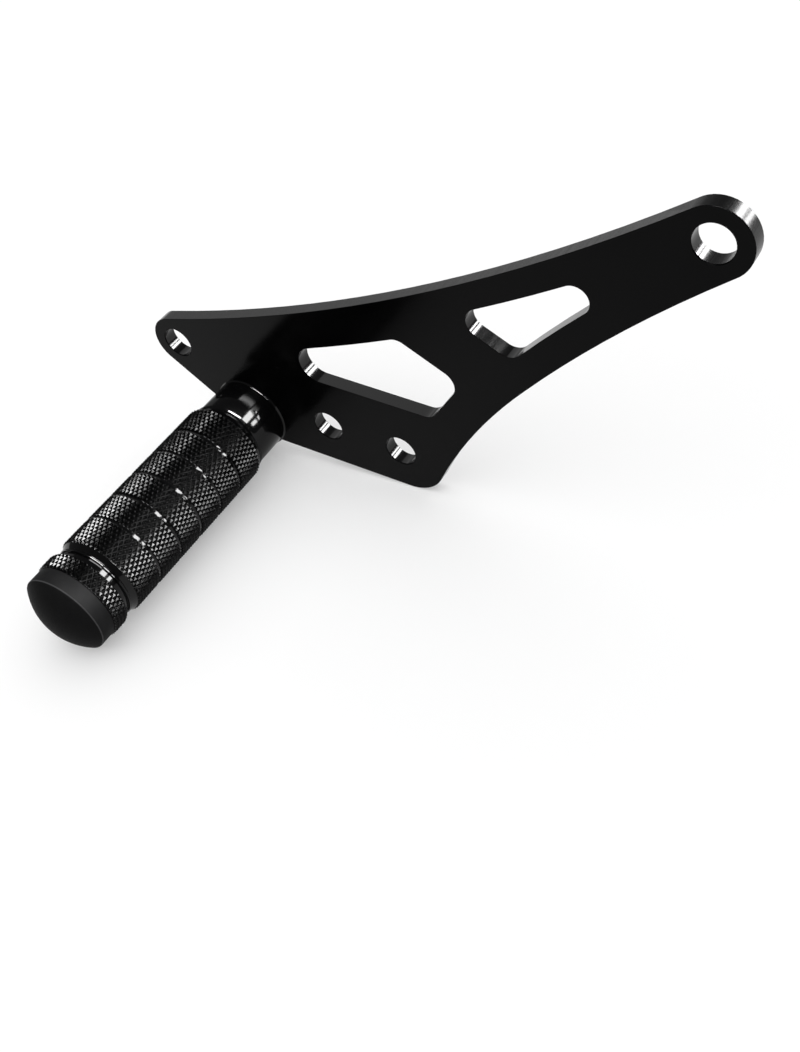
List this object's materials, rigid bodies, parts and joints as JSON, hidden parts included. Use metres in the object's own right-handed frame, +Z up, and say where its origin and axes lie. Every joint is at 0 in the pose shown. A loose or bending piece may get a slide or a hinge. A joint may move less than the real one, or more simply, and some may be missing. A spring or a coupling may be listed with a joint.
{
  "type": "footpeg lock bracket",
  "caption": "Long flat bracket plate with two cut-out windows and bolt holes, and a knurled cylindrical footpeg standing square on its face near one end.",
  "frame": {"origin": "centre of the base of the bounding box, at the height of the surface that the part lies on", "axes": "+X along the plate towards its narrow tip, +Y through the plate from the peg's side to the back, +Z up"},
  "size_m": [0.252, 0.1434, 0.1441],
  "materials": {
    "plate": "satin black anodised",
    "peg": "gloss black anodised, diamond knurled",
    "end_plug": "matte dark grey",
    "steel": "black oxide"
  },
  "bodies": {
    "root": {"plate": "plate", "peg": "peg", "end_plug": "end_plug", "washer": "steel", "screw": "steel"}
  },
  "joints": []
}
